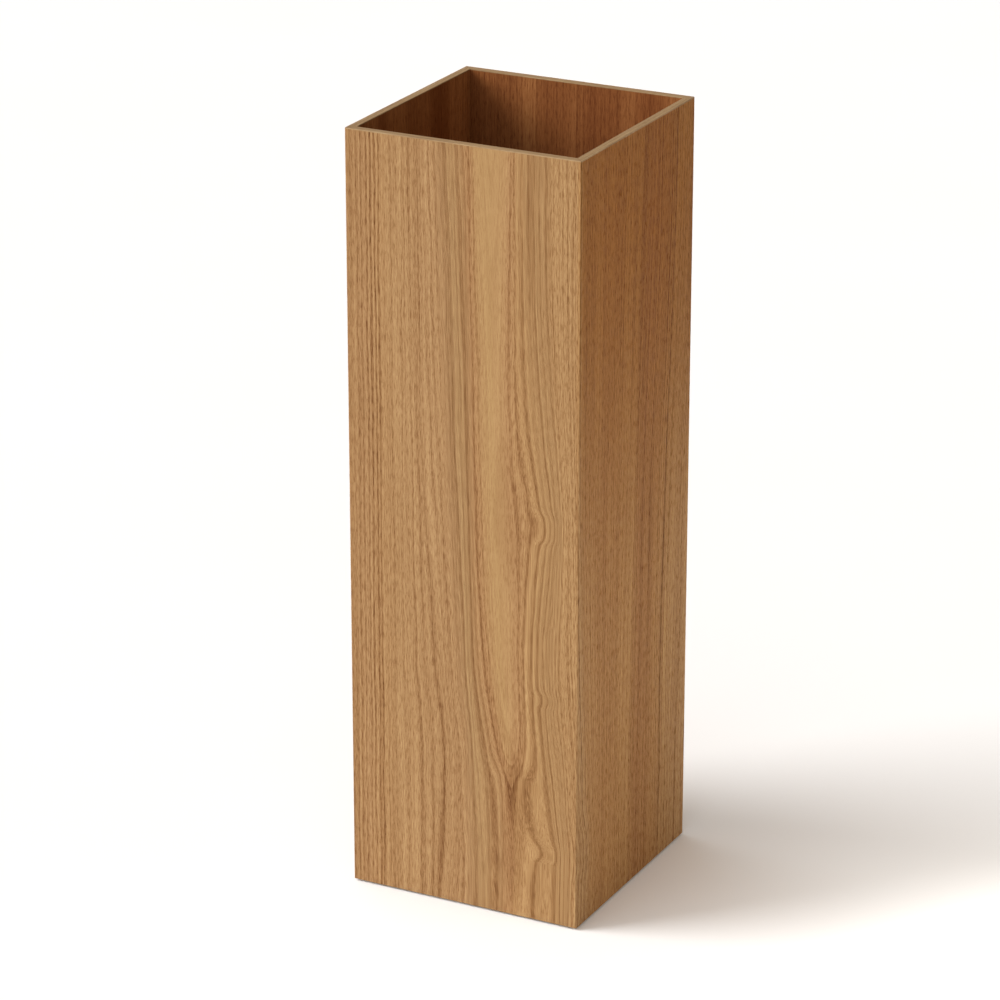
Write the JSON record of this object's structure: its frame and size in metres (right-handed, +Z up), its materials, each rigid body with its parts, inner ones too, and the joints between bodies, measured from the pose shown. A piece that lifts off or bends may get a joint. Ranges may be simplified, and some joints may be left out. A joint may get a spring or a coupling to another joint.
{
  "type": "umbrella stand",
  "caption": "Tall square open-topped wooden box with veneered walls, a raised base, rubber feet and a lift-out drip tray, for standing umbrellas in.",
  "frame": {"origin": "on the floor, under the centre of the box", "axes": "+Z up, out of the open top; the front faces -Y and the right side faces +X"},
  "size_m": [0.16, 0.16, 0.505],
  "materials": {
    "face_veneer": "clear satin lacquer over yellow-brown veneer, straight grain with open cathedrals",
    "lining_veneer": "clear satin lacquer over plain straight-grained veneer",
    "edge_band": "sanded edge band, clear satin lacquer",
    "core_board": "raw medium density fibreboard",
    "plywood": "raw birch plywood",
    "base_film": "brown melamine film, fine matt texture",
    "corner_block": "sawn pine",
    "foot_rubber": "moulded black rubber",
    "fastener_steel": "bright zinc plate",
    "tray_plastic": "moulded black polypropylene, fine spark texture"
  },
  "bodies": {
    "stand": {"outer_veneer": "face_veneer", "front_core": "core_board", "front_lining": "lining_veneer", "front_edge_band": "edge_band", "right_core": "core_board", "right_lining": "lining_veneer", "right_edge_band": "edge_band", "back_core": "core_board", "back_lining": "lining_veneer", "back_edge_band": "edge_band", "left_core": "core_board", "left_lining": "lining_veneer", "left_edge_band": "edge_band", "base_board": "plywood", "base_facing": "base_film", "corner_block_front_left": "corner_block", "rubber_foot_front_left": "foot_rubber", "corner_block_front_right": "corner_block", "rubber_foot_front_right": "foot_rubber", "corner_block_back_right": "corner_block", "rubber_foot_back_right": "foot_rubber", "corner_block_back_left": "corner_block", "rubber_foot_back_left": "foot_rubber", "foot_washers": "fastener_steel", "foot_screws": "fastener_steel"},
    "tray": {"drip_tray": "tray_plastic"}
  },
  "joints": [
    {"name": "drip_tray_lift", "type": "slide", "parent": "stand", "child": "tray", "axis": [0, 0, 1], "range_m": [0, 0.49]}
  ]
}
